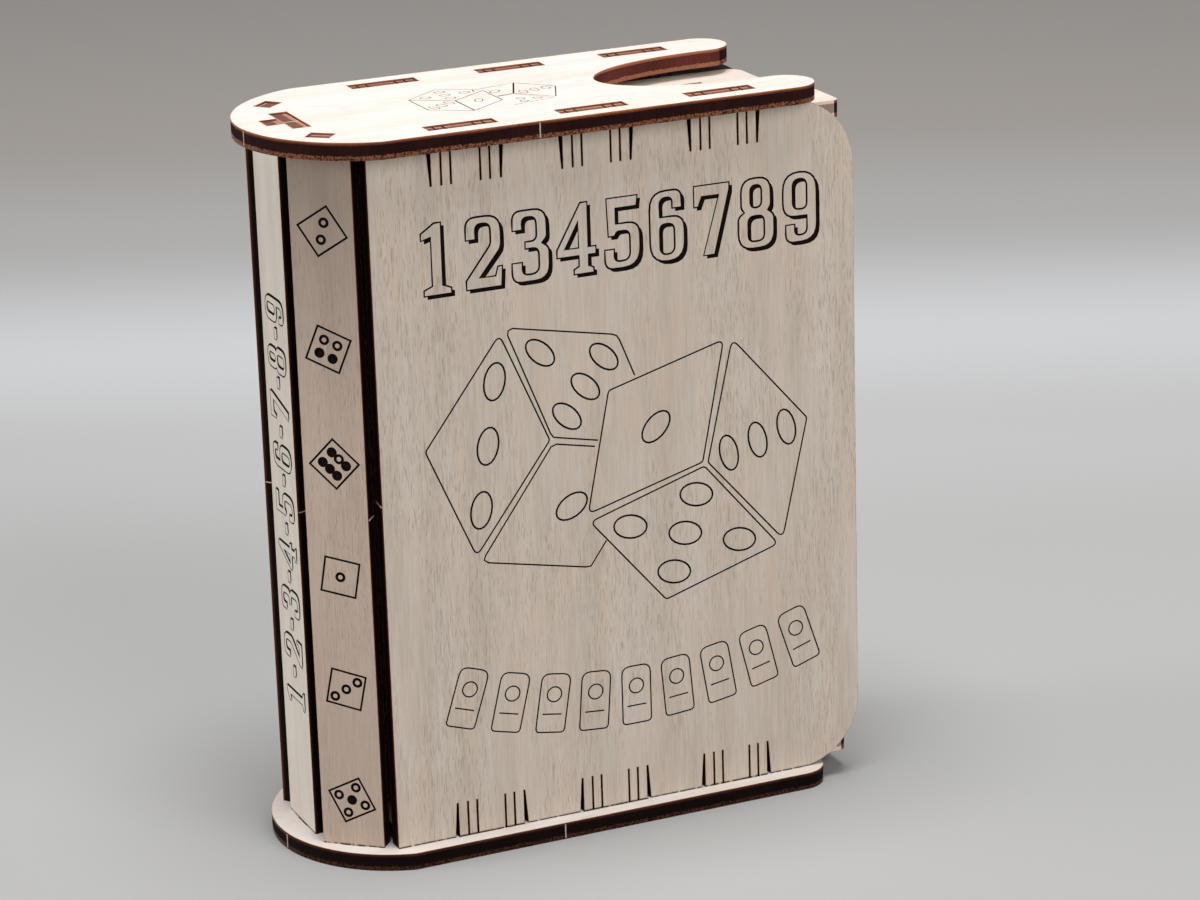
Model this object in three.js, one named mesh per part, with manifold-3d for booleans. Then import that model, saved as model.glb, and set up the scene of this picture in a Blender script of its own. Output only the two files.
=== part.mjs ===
// A pocket shut the box game in a book-shaped case, laser-cut from 3 mm plywood.
// The case is a sleeve: two end plates with thumb notches, two covers held by spring-slit tabs,
// and a spine of three strips. A drawer slides out of the fore-edge. It is a tray with nine
// number tiles that flip on one dowel, and two dice. Millimetres, +Z up, covers facing -Y and +Y.
// Lengths along X are written from the covers' straight spine edge, and along Y from mid-depth.

import * as THREE from "three";
import { mergeVertices } from "three/addons/utils/BufferGeometryUtils.js";
import Module from "manifold-3d";

// Sheet stock and case
const ply = 3;
const coverWidth = 88;
const coverHeight = 121;
const coverCornerRadius = 12;
const insideDepth = 32;
const plateOverhang = 3;
const slotClearance = 0.1;

// Tabs that lock one sheet into another, with the slits that let their ends spring
const tabLength = 12;
const tabRecess = 0.3;
const slitLength = 6.3;
const slitWidth = 0.35;
const slitMouth = 0.8;
const slitPitch = 1.7;
const slitsPerEnd = 2;
const coverTabCount = 3;
const coverTabSpineMargin = 11.2;
const coverTabForeMargin = 18.2;

// End plates: arched spine end, two round-ended prongs and the thumb notch between them
const archStart = 1.9;
const archRise = 16.8;
const prongSetBack = 6.7;
const prongWidth = 10;
const notchReach = 24;
const notchStraight = 3.1;

// Spine strips and the stiffener behind the middle one
const stripTabLength = 4;
const middleStripWidth = 12.6;
const middleStripInset = 4.4;
const sideStripWidth = 11;
const sideStripInset = 3;
const sideStripBearing = THREE.MathUtils.degToRad(44.4);
const sideStripTurn = THREE.MathUtils.degToRad(49.4);
const stiffenerGap = 0.1;
const stiffenerSideGap = 0.4;

// Drawer
const drawerGap = 0.3;
const drawerTopGap = 1.7;
const drawerStart = 0.5;
const drawerSetBack = 5;
const gripReach = 4.4;
const gripCornerRadius = 1.5;
const drawerCornerRadius = 3;
const endWallInset = 3;
const floorSetBack = 21.5;
const floorTabCount = 3;
const floorTabMargin = 4.5;
const floorSideTabMargin = 12.5;

// Number tiles on their dowel
const tileCount = 9;
const tileGap = 0.5;
const tileFoot = 1.2;
const tileFloorGap = 0.3;
const tileHeadroom = 0.3;
const rodRadius = 1.5;
const rodFit = 0.05;
const rodRunningGap = 0.15;
const earRadius = 3;
const earHeight = 8;
const earWallGap = 0.3;

// Dice
const dieEdge = 12;
const dieRoundShare = 0.68;
const diePipShare = 0.26;
const pipRadius = 1.1;
const pipDepth = 0.6;
const dieSeatGap = 0.3;
const diceFromForeWall = [37, 19];

// How far cutters run past the sheet they cut
const cutOverrun = 1;

// Facets
const arcSegments = 20;
const earSegments = 5;
const ballRings = 12;
const roundSides = 24;
const pipSides = 10;

// Heights and depths that follow from the sizes above
const caseHeight = coverHeight + 2 * ply;
const tabReach = ply - tabRecess;
const halfInside = insideDepth / 2;
const halfCase = halfInside + ply;
const halfPlate = halfCase + plateOverhang;
const archRadius = (halfPlate ** 2 + archRise ** 2) / (2 * archRise);
const archCentre = archStart - archRise + archRadius;
const spineReach = archRise - archStart;
const middleStripX = archCentre - archRadius + middleStripInset;
const stiffenerX = middleStripX + ply + stiffenerGap;
const prongReach = coverWidth - prongSetBack;
const drawerEnd = coverWidth - drawerSetBack;
const halfDrawer = halfInside - drawerGap;
const drawerBottom = ply + drawerGap;
const drawerTop = ply + coverHeight - drawerTopGap;
const trayBottom = drawerBottom + ply;
const trayTop = drawerTop - ply;
const trayHeight = trayTop - trayBottom;
const spineWallX = drawerStart + endWallInset;
const foreWallX = drawerEnd - endWallInset - ply;
const floorStart = spineWallX + ply;
const floorWidth = foreWallX - floorStart;
const floorFront = floorSetBack - halfInside;
const endWallTabY = (floorFront - halfDrawer) / 2;
const tileFaceOffset = earRadius + ply;
const rodX = floorStart + earWallGap + earRadius;
const rodY = floorFront - tileFaceOffset - tileFloorGap;
const tileReach = Math.sqrt((rodY + halfDrawer - tileHeadroom) ** 2 - tileFaceOffset ** 2);
const tilePitch = trayHeight / tileCount;
const tileWidth = tilePitch - tileGap;

const plateWood = new THREE.MeshStandardMaterial({ color: 0xf3e6d4, roughness: 0.7, metalness: 0 });
const coverWood = new THREE.MeshStandardMaterial({ color: 0xc8b49a, roughness: 0.75, metalness: 0 });
const drawerWood = new THREE.MeshStandardMaterial({ color: 0xd9b99a, roughness: 0.75, metalness: 0 });
const tileWood = new THREE.MeshStandardMaterial({ color: 0xe0c69c, roughness: 0.7, metalness: 0 });
const dowelWood = new THREE.MeshStandardMaterial({ color: 0xcfa878, roughness: 0.6, metalness: 0 });
const dieWhite = new THREE.MeshStandardMaterial({ color: 0xf0ece0, roughness: 0.35, metalness: 0 });

const manifoldLibrary = await Module();
manifoldLibrary.setup();

// A closed three.js geometry as a manifold solid, and back
function solidFrom(geometry) {
  geometry.deleteAttribute("normal");
  geometry.deleteAttribute("uv");
  const merged = mergeVertices(geometry);
  return new manifoldLibrary.Manifold(new manifoldLibrary.Mesh({
    numProp: 3,
    vertProperties: new Float32Array(merged.attributes.position.array),
    triVerts: new Uint32Array(merged.index.array),
  }));
}

function geometryFrom(solid) {
  const data = solid.getMesh();
  const geometry = new THREE.BufferGeometry();
  geometry.setAttribute("position", new THREE.BufferAttribute(data.vertProperties, 3));
  geometry.setIndex(new THREE.BufferAttribute(data.triVerts, 1));
  geometry.computeVertexNormals();
  return geometry;
}

// Centres of evenly spaced tabs along an edge from 0 to length, counted from its middle.
// The margins lie between the edge's ends and the outer tabs.
function tabRow(count, length, startMargin, endMargin = startMargin) {
  const first = startMargin + tabLength / 2;
  const pitch = (length - endMargin - tabLength / 2 - first) / (count - 1);
  return Array.from({ length: count }, (_, index) => first + index * pitch - length / 2);
}

// The tabs of one edge of a sheet, walked from start to end with the sheet on the left.
// Each tab ends just short of the far face of the sheet it locks into. A slit tab has a wedge
// beside it and slits in it.
function tabbedEdge(shape, start, end, tabs, length, slit) {
  const along = end.clone().sub(start).normalize();
  const outward = new THREE.Vector2(along.y, -along.x);
  const middle = start.distanceTo(end) / 2;
  const put = (distance, height) => {
    const point = start.clone().addScaledVector(along, middle + distance);
    point.addScaledVector(outward, height);
    shape.lineTo(point.x, point.y);
  };
  for (const tab of tabs) {
    const first = tab - length / 2;
    const last = tab + length / 2;
    if (slit) {
      put(first - slitMouth, 0);
      put(first - slitWidth, -slitLength);
      put(first, -slitLength);
    } else {
      put(first, 0);
    }
    put(first, tabReach);
    for (const place of slit ? slitPlaces(first, last) : []) {
      put(place - slitWidth / 2, tabReach);
      put(place - slitWidth / 2, -slitLength);
      put(place + slitWidth / 2, -slitLength);
      put(place + slitWidth / 2, tabReach);
    }
    put(last, tabReach);
    if (slit) {
      put(last, -slitLength);
      put(last + slitWidth, -slitLength);
      put(last + slitMouth, 0);
    } else {
      put(last, 0);
    }
  }
}

// Where the slits inside one tab lie, counted in from both of its ends
function slitPlaces(first, last) {
  const steps = Array.from({ length: slitsPerEnd }, (_, index) => (index + 1) * slitPitch);
  return [...steps.map((step) => first + step), ...steps.reverse().map((step) => last - step)];
}

// A rectangular sheet with tabs along any of its four edges, centred on zero
function tabbedSheet(width, height, edges) {
  const right = width / 2;
  const top = height / 2;
  const corners = [[-right, -top], [right, -top], [right, top], [-right, top]];
  const points = corners.map(([x, y]) => new THREE.Vector2(x, y));
  const shape = new THREE.Shape();
  shape.moveTo(-right, -top);
  points.forEach((point, index) => {
    const { tabs = [], length = tabLength, slit = true } = edges[index] ?? {};
    shape.lineTo(point.x, point.y);
    tabbedEdge(shape, point, points[(index + 1) % points.length], tabs, length, slit);
  });
  return shape;
}

// The cutter for a tab's slot: its centre, its length along the sheet it takes, and that sheet's turn
function slot(x, y, length, turn = 0) {
  const margin = 2 * slotClearance;
  const cutter = new THREE.BoxGeometry(length + margin, ply + margin, ply + 2 * cutOverrun);
  return cutter.rotateZ(turn).translate(x, y, ply / 2);
}

// The cutter for a round hole, drilled upright through a sheet
function drill(x, y, radius) {
  const cutter = new THREE.CylinderGeometry(radius, radius, ply + 2 * cutOverrun, roundSides);
  return cutter.rotateX(Math.PI / 2).translate(x, y, ply / 2);
}

// A sheet cut to an outline, with its slots and holes, lying in the XY plane with its underside at zero
function sheet(name, outline, material, cutters = [], curveSegments = arcSegments) {
  const blank = new THREE.ExtrudeGeometry(outline, { depth: ply, bevelEnabled: false, curveSegments });
  const solid = cutters.reduce((rest, cutter) => rest.subtract(solidFrom(cutter)), solidFrom(blank));
  const mesh = new THREE.Mesh(geometryFrom(solid), material);
  mesh.name = name;
  return mesh;
}

// The same sheet stood up along X, its outer face at y and its middle height at z
function facingY(mesh, x, y, z) {
  mesh.rotation.set(Math.PI / 2, 0, 0);
  mesh.position.set(x, y, z);
  return mesh;
}

// The same sheet stood up along Y, its face nearest the spine at x and its middle height at z
function facingX(mesh, x, y, z) {
  mesh.rotation.set(Math.PI / 2, Math.PI / 2, 0);
  mesh.position.set(x, y, z);
  return mesh;
}

const coverTabs = tabRow(coverTabCount, coverWidth, coverTabSpineMargin, coverTabForeMargin);
const floorEndTabs = tabRow(floorTabCount, floorWidth, floorTabMargin);
const floorSideTabs = tabRow(floorTabCount, trayHeight, floorSideTabMargin);

// End plate: arch over the spine, straight sides, prongs, and the elliptical thumb notch
function plateOutline() {
  const archHalfAngle = Math.asin(halfPlate / archRadius);
  const prongRadius = prongWidth / 2;
  const prongCentre = prongReach - prongRadius;
  const prongY = halfPlate - prongRadius;
  const notchHalf = halfPlate - prongWidth;
  const notchCentre = prongCentre - notchStraight;
  const shape = new THREE.Shape();
  shape.absarc(prongCentre, -prongY, prongRadius, -Math.PI / 2, Math.PI / 2, false);
  shape.absellipse(notchCentre, 0, notchReach, notchHalf, -Math.PI / 2, Math.PI / 2, true);
  shape.absarc(prongCentre, prongY, prongRadius, -Math.PI / 2, Math.PI / 2, false);
  shape.absarc(archCentre, 0, archRadius, Math.PI - archHalfAngle, Math.PI + archHalfAngle, false);
  return shape;
}

// Where a side strip's outer face is centred: side is -1 near and 1 far
function sideStripPlace(side) {
  const reach = archRadius - sideStripInset;
  return new THREE.Vector2(
    archCentre - reach * Math.cos(sideStripBearing),
    side * reach * Math.sin(sideStripBearing),
  );
}

// End plate, slotted for the covers, the side strips, and the middle strip with its stiffener,
// whose two slots run together into a T
function endPlate(name, z) {
  const slots = [
    slot(middleStripX + ply / 2, 0, stripTabLength, Math.PI / 2),
    slot(stiffenerX + ply / 2, 0, tabLength, Math.PI / 2),
  ];
  for (const side of [-1, 1]) {
    for (const place of coverTabs) {
      slots.push(slot(coverWidth / 2 + place, side * (halfInside + ply / 2), tabLength));
    }
    const inward = new THREE.Vector2(ply / 2, 0).rotateAround(new THREE.Vector2(), -side * sideStripTurn);
    const centre = sideStripPlace(side).add(inward);
    slots.push(slot(centre.x, centre.y, stripTabLength, Math.PI / 2 - side * sideStripTurn));
  }
  const plate = sheet(name, plateOutline(), plateWood, slots);
  plate.position.z = z;
  return plate;
}

// Cover: slit tabs above and below, square at the spine and rounded at the fore-edge
function coverOutline() {
  const right = coverWidth / 2;
  const top = coverHeight / 2;
  const radius = coverCornerRadius;
  const tabsBelow = coverTabs.map((place) => place + radius / 2);
  const tabsAbove = coverTabs.map((place) => -(place + radius / 2)).reverse();
  const shape = new THREE.Shape();
  const spineBottom = new THREE.Vector2(-right, -top);
  const spineTop = new THREE.Vector2(-right, top);
  shape.moveTo(-right, -top);
  tabbedEdge(shape, spineBottom, new THREE.Vector2(right - radius, -top), tabsBelow, tabLength, true);
  shape.absarc(right - radius, -top + radius, radius, -Math.PI / 2, 0, false);
  shape.absarc(right - radius, top - radius, radius, 0, Math.PI / 2, false);
  tabbedEdge(shape, new THREE.Vector2(right - radius, top), spineTop, tabsAbove, tabLength, true);
  shape.lineTo(spineTop.x, spineTop.y);
  return shape;
}

function cover(name, outerY) {
  return facingY(sheet(name, coverOutline(), coverWood), coverWidth / 2, outerY, caseHeight / 2);
}

function stripOutline(width, length) {
  const edge = { tabs: [0], length, slit: false };
  return tabbedSheet(width, coverHeight, [edge, undefined, edge]);
}

function middleStrip() {
  const strip = sheet("spine_strip_middle", stripOutline(middleStripWidth, stripTabLength), coverWood);
  return facingX(strip, middleStripX, 0, caseHeight / 2);
}

// A side strip lies in a group that is turned to follow the arch
function sideStrip(name, side) {
  const strip = sheet(name, stripOutline(sideStripWidth, stripTabLength), coverWood);
  const turned = new THREE.Group();
  const place = sideStripPlace(side);
  turned.position.set(place.x, place.y, 0);
  turned.rotation.z = -side * sideStripTurn;
  turned.add(facingX(strip, 0, 0, caseHeight / 2));
  return turned;
}

// The stiffener reaches to just short of the side strips' inner faces
function stiffener() {
  const along = new THREE.Vector2(Math.sin(sideStripTurn), Math.cos(sideStripTurn));
  const innerFace = sideStripPlace(1).add(new THREE.Vector2(along.y, -along.x).multiplyScalar(ply));
  const faceY = innerFace.y + ((stiffenerX - innerFace.x) * along.y) / along.x;
  const width = 2 * (faceY - stiffenerSideGap);
  const panel = sheet("spine_stiffener", stripOutline(width, tabLength), drawerWood);
  return facingX(panel, stiffenerX, 0, caseHeight / 2);
}

// Drawer's top or bottom wall: the near half of its fore-edge runs further out as a finger grip
function drawerWallOutline() {
  const gripEnd = drawerEnd + gripReach;
  const bend = halfDrawer / 2;
  const shape = new THREE.Shape();
  shape.absarc(gripEnd - gripCornerRadius, gripCornerRadius - halfDrawer, gripCornerRadius, -Math.PI / 2, 0);
  shape.lineTo(gripEnd, -bend);
  shape.bezierCurveTo(gripEnd, 0, drawerEnd, 0, drawerEnd, bend);
  const cornerX = drawerEnd - drawerCornerRadius;
  shape.absarc(cornerX, halfDrawer - drawerCornerRadius, drawerCornerRadius, 0, Math.PI / 2);
  shape.lineTo(drawerStart, halfDrawer);
  shape.lineTo(drawerStart, -halfDrawer);
  return shape;
}

function drawerWall(name, z) {
  const floorSlots = floorEndTabs.map((place) => (
    slot(floorStart + floorWidth / 2 + place, floorFront + ply / 2, tabLength)));
  const endSlots = [spineWallX, foreWallX].map((x) => (
    slot(x + ply / 2, endWallTabY, tabLength, Math.PI / 2)));
  const cutters = [...floorSlots, ...endSlots, drill(rodX, rodY, rodRadius + rodFit)];
  const wall = sheet(name, drawerWallOutline(), drawerWood, cutters);
  wall.position.z = z;
  return wall;
}

// Drawer's spine-side or fore-edge wall, slotted for the floor's side tabs
function endWall(name, x) {
  const below = { tabs: [endWallTabY] };
  const above = { tabs: [-endWallTabY] };
  const outline = tabbedSheet(2 * halfDrawer, trayHeight, [below, undefined, above]);
  const slots = floorSideTabs.map((place) => (
    slot(floorFront + ply / 2, place, tabLength, Math.PI / 2)));
  return facingX(sheet(name, outline, drawerWood, slots), x, 0, trayBottom + trayHeight / 2);
}

function drawerFloor() {
  const ends = { tabs: floorEndTabs };
  const sides = { tabs: floorSideTabs };
  const outline = tabbedSheet(floorWidth, trayHeight, [ends, sides, ends, sides]);
  const panel = sheet("drawer_floor", outline, drawerWood);
  return facingY(panel, floorStart + floorWidth / 2, floorFront + ply, trayBottom + trayHeight / 2);
}

function tileRod() {
  const length = drawerTop - drawerBottom;
  const rod = new THREE.Mesh(new THREE.CylinderGeometry(rodRadius, rodRadius, length, roundSides), dowelWood);
  rod.name = "tile_rod";
  rod.rotation.x = Math.PI / 2;
  rod.position.set(rodX, rodY, drawerBottom + length / 2);
  return rod;
}

// Number plate of a tile, standing up from the dowel with its face towards the fore-edge
function tileFace(number, z) {
  const plate = new THREE.Mesh(new THREE.BoxGeometry(ply, tileFoot + tileReach, tileWidth), tileWood);
  plate.name = `tile_${number}_face`;
  plate.position.set(rodX + earRadius + ply / 2, rodY + (tileFoot - tileReach) / 2, z + tileWidth / 2);
  return plate;
}

// Ear: rounded about the dowel's bore, with a long glue edge against the plate's back
function earOutline() {
  const shape = new THREE.Shape();
  shape.absarc(0, 0, earRadius, Math.PI / 2, Math.PI * 1.5, false);
  shape.lineTo(earRadius, -earHeight);
  shape.lineTo(earRadius, tileFoot);
  return shape;
}

function tileEar(name, z) {
  const bore = drill(0, 0, rodRadius + rodRunningGap);
  const ear = sheet(name, earOutline(), tileWood, [bore], earSegments);
  ear.position.set(rodX, rodY, z);
  return ear;
}

function tile(number) {
  const group = new THREE.Group();
  const z = trayBottom + tileGap / 2 + (number - 1) * tilePitch;
  group.add(tileFace(number, z));
  group.add(tileEar(`tile_${number}_lower_ear`, z));
  group.add(tileEar(`tile_${number}_upper_ear`, z + tileWidth - ply));
  return group;
}

// Pips of one face as places in a three by three grid
function pipGrid(value) {
  const corners = [[-1, -1], [1, 1], [-1, 1], [1, -1]];
  const places = value === 6 ? [...corners, [-1, 0], [1, 0]] : corners.slice(0, value - (value % 2));
  return value % 2 ? [...places, [0, 0]] : places;
}

// Which way each face looks; opposite faces add up to seven
const dieFaces = [
  [1, new THREE.Vector3(0, -1, 0)],
  [6, new THREE.Vector3(0, 1, 0)],
  [2, new THREE.Vector3(1, 0, 0)],
  [5, new THREE.Vector3(-1, 0, 0)],
  [3, new THREE.Vector3(0, 0, 1)],
  [4, new THREE.Vector3(0, 0, -1)],
];

// A die: a cube rounded by a sphere, with drilled pips
function dieGeometry() {
  const cube = solidFrom(new THREE.BoxGeometry(dieEdge, dieEdge, dieEdge));
  const ball = solidFrom(new THREE.SphereGeometry(dieEdge * dieRoundShare, 2 * ballRings, ballRings));
  let die = cube.intersect(ball);
  const drillLength = 2 * pipDepth;
  for (const [value, outward] of dieFaces) {
    const turn = new THREE.Quaternion().setFromUnitVectors(new THREE.Vector3(0, -1, 0), outward);
    for (const [across, up] of pipGrid(value)) {
      const drill = new THREE.ConeGeometry(2 * pipRadius, drillLength, pipSides);
      drill.translate(across * diePipShare * dieEdge, -dieEdge / 2, up * diePipShare * dieEdge);
      drill.applyQuaternion(turn);
      die = die.subtract(solidFrom(drill));
    }
  }
  return geometryFrom(die);
}

function die(index, x) {
  const mesh = new THREE.Mesh(dieGeometry(), dieWhite);
  mesh.name = `die_${index + 1}`;
  const y = floorFront - dieSeatGap - dieEdge / 2;
  mesh.position.set(x, y, trayBottom + dieSeatGap + dieEdge / 2);
  return mesh;
}

function bookCase() {
  const group = new THREE.Group();
  group.add(endPlate("bottom_plate", 0), endPlate("top_plate", ply + coverHeight));
  group.add(cover("front_cover", -halfInside), cover("back_cover", halfCase));
  group.add(middleStrip(), sideStrip("spine_strip_near", -1), sideStrip("spine_strip_far", 1));
  group.add(stiffener());
  return group;
}

function drawer() {
  const group = new THREE.Group();
  group.add(drawerWall("drawer_bottom_wall", drawerBottom), drawerWall("drawer_top_wall", trayTop));
  group.add(endWall("drawer_spine_wall", spineWallX), endWall("drawer_fore_edge_wall", foreWallX));
  group.add(drawerFloor(), tileRod());
  for (let number = 1; number <= tileCount; number += 1) {
    group.add(tile(number));
  }
  diceFromForeWall.forEach((distance, index) => group.add(die(index, foreWallX - distance)));
  return group;
}

const game = new THREE.Group();
game.add(bookCase(), drawer());
game.position.x = (spineReach - coverWidth) / 2;

export default game;
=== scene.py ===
import math

import bpy
from mathutils import Euler, Matrix, Vector


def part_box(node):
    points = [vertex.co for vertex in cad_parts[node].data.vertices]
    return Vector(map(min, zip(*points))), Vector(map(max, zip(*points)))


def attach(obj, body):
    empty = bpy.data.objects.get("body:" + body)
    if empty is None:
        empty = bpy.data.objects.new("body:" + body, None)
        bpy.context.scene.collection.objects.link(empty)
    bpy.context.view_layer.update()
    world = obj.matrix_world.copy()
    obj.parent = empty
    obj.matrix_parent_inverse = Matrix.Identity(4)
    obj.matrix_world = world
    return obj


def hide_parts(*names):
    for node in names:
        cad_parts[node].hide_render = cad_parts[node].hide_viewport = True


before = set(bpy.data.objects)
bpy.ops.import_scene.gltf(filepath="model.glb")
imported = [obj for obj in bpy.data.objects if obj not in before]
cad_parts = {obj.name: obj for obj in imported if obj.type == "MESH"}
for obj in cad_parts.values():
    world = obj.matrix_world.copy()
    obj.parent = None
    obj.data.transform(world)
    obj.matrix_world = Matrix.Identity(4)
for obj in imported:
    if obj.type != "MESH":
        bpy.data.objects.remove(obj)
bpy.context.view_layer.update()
mm = 0.001
plyThickness = 3.0 * mm

# Places that the artwork is drawn from: the front cover's spine edge and outer face, and the case's top
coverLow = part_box("front_cover")[0]
spineEdge, frontFace = coverLow.x, coverLow.y
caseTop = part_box("top_plate")[1].z
bpy.context.tool_settings.mesh_select_mode = (False, False, True)


def srgb(red, green, blue):
    def linear(value):
        value /= 255
        return value / 12.92 if value <= 0.04045 else ((value + 0.055) / 1.055) ** 2.4

    return (linear(red), linear(green), linear(blue), 1.0)


# Node helpers

def addNode(tree, kind, inputs=None, **settings):
    node = tree.nodes.new(kind)
    for key, value in settings.items():
        setattr(node, key, value)
    for socket, value in (inputs or {}).items():
        if isinstance(value, bpy.types.NodeSocket):
            tree.links.new(value, node.inputs[socket])
        else:
            node.inputs[socket].default_value = value
    return node


def mathOf(tree, operation, first, second=0.0):
    return addNode(tree, "ShaderNodeMath", {0: first, 1: second}, operation=operation).outputs[0]


def plus(tree, first, second):
    return mathOf(tree, "ADD", first, second)


def minus(tree, first, second):
    return mathOf(tree, "SUBTRACT", first, second)


def times(tree, first, second):
    return mathOf(tree, "MULTIPLY", first, second)


def lessOf(tree, start, value, share):
    return minus(tree, start, times(tree, value, share))


def blendOf(tree, amount, first, second):
    # A mix node of this kind has its colours in sockets 6 and 7 and puts them out of socket 2
    return addNode(tree, "ShaderNodeMix", {0: amount, 6: first, 7: second}, data_type="RGBA").outputs[2]


def stepOf(tree, value, low, high):
    return addNode(tree, "ShaderNodeMapRange", {"Value": value, "From Min": low, "From Max": high},
                   interpolation_type="SMOOTHSTEP").outputs[0]


def noiseOf(tree, vector, stretch, detail, roughness, shift=(0.0, 0.0, 0.0)):
    placed = addNode(tree, "ShaderNodeMapping", {"Vector": vector, "Scale": stretch, "Location": shift})
    noise = addNode(tree, "ShaderNodeTexNoise", {
        "Vector": placed.outputs[0], "Scale": 1.0, "Detail": detail, "Roughness": roughness,
    })
    return noise.outputs["Fac"]


def newGroup(name, inputs, outputs):
    group = bpy.data.node_groups.new(name, "ShaderNodeTree")
    kinds = {"value": "NodeSocketFloat", "colour": "NodeSocketColor", "vector": "NodeSocketVector"}
    for label, kind, value in inputs:
        socket = group.interface.new_socket(name=label, in_out="INPUT", socket_type=kinds[kind])
        if value is not None:
            socket.default_value = value
    for label, kind in outputs:
        group.interface.new_socket(name=label, in_out="OUTPUT", socket_type=kinds[kind])
    return group, group.nodes.new("NodeGroupInput").outputs, group.nodes.new("NodeGroupOutput").inputs


def placeGroup(tree, group, inputs):
    return addNode(tree, "ShaderNodeGroup", inputs, node_tree=group).outputs


# Shared effects: all read millimetres, and the grain runs along the first axis

tints = {"pinkStreak": (214, 190, 168), "paleFleck": (236, 226, 212), "warmOuter": (150, 92, 70),
         "tornOuter": (164, 112, 84), "sawnOuter": (240, 214, 194), "warmMiddle": (98, 49, 42),
         "sawnMiddle": (158, 136, 122), "soot": (10, 5, 4), "paleSoot": (30, 16, 12), "head": (96, 80, 72),
         "foot": (34, 17, 13), "paintedInnerShade": (30, 22, 18)}
tints = {name: srgb(*tint) for name, tint in tints.items()}


def makeGrainGroup():
    group, given, made = newGroup(
        "veneerGrain",
        [("Vector", "vector", None), ("Light", "colour", srgb(224, 211, 194)),
         ("Dark", "colour", srgb(203, 187, 167)), ("Pore", "colour", srgb(150, 130, 110)),
         ("Pore Amount", "value", 0.5), ("Warm Streaks", "value", 0.35)],
        [("Color", "colour"), ("Height", "value")],
    )
    vector = given["Vector"]
    bands = noiseOf(group, vector, (0.018, 0.22, 0.22), 2.0, 0.55)
    fibres = noiseOf(group, vector, (0.16, 3.6, 3.6), 3.0, 0.62, (5.0, 2.0, 7.0))
    warmth = noiseOf(group, vector, (0.06, 0.4, 0.4), 1.0, 0.5, (31.0, 9.0, 3.0))
    poreNoise = noiseOf(group, vector, (0.5, 8.5, 8.5), 1.0, 0.4, (17.0, 23.0, 1.0))
    patches = noiseOf(group, vector, (0.03, 0.12, 0.12), 1.0, 0.5, (3.0, 41.0, 13.0))
    fleckNoise = noiseOf(group, vector, (0.9, 2.4, 2.4), 1.0, 0.5, (7.0, 3.0, 29.0))

    tone = plus(group, times(group, fibres, 0.75), times(group, bands, 0.6))
    colour = blendOf(group, stepOf(group, tone, 0.42, 0.95), given["Light"], given["Dark"])
    pinker = blendOf(group, stepOf(group, warmth, 0.45, 0.75), colour, tints["pinkStreak"])
    colour = blendOf(group, given["Warm Streaks"], colour, pinker)
    pores = times(group, stepOf(group, poreNoise, 0.60, 0.72), stepOf(group, patches, 0.34, 0.60))
    colour = blendOf(group, times(group, pores, given["Pore Amount"]), colour, given["Pore"])
    flecks = times(group, stepOf(group, fleckNoise, 0.66, 0.78), 0.12)
    colour = blendOf(group, flecks, colour, tints["paleFleck"])
    height = lessOf(group, times(group, fibres, 0.35), pores, 0.6)
    group.links.new(colour, made["Color"])
    group.links.new(height, made["Height"])
    return group


def makeRimGroup():
    # Heat from the beam browns a narrow uneven line along every cut
    group, given, made = newGroup(
        "scorchedRim",
        [("Color", "colour", srgb(220, 205, 185)), ("Burn", "value", 0.0), ("Vector", "vector", None),
         ("Tan", "colour", srgb(196, 150, 108)), ("Brown", "colour", srgb(96, 56, 36))],
        [("Color", "colour")],
    )
    ragged = noiseOf(group, given["Vector"], (0.9, 0.9, 0.9), 3.0, 0.65)
    ragged = minus(group, ragged, 0.5)
    reach = plus(group, given["Burn"], times(group, ragged, 0.55))
    touched = stepOf(group, given["Burn"], 0.0, 0.25)
    tan = times(group, stepOf(group, reach, 0.45, 1.0), touched)
    brown = times(group, stepOf(group, reach, 0.88, 1.12), touched)
    colour = blendOf(group, times(group, tan, 0.45), given["Color"], given["Tan"])
    colour = blendOf(group, brown, colour, given["Brown"])
    group.links.new(colour, made["Color"])
    return group


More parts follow.
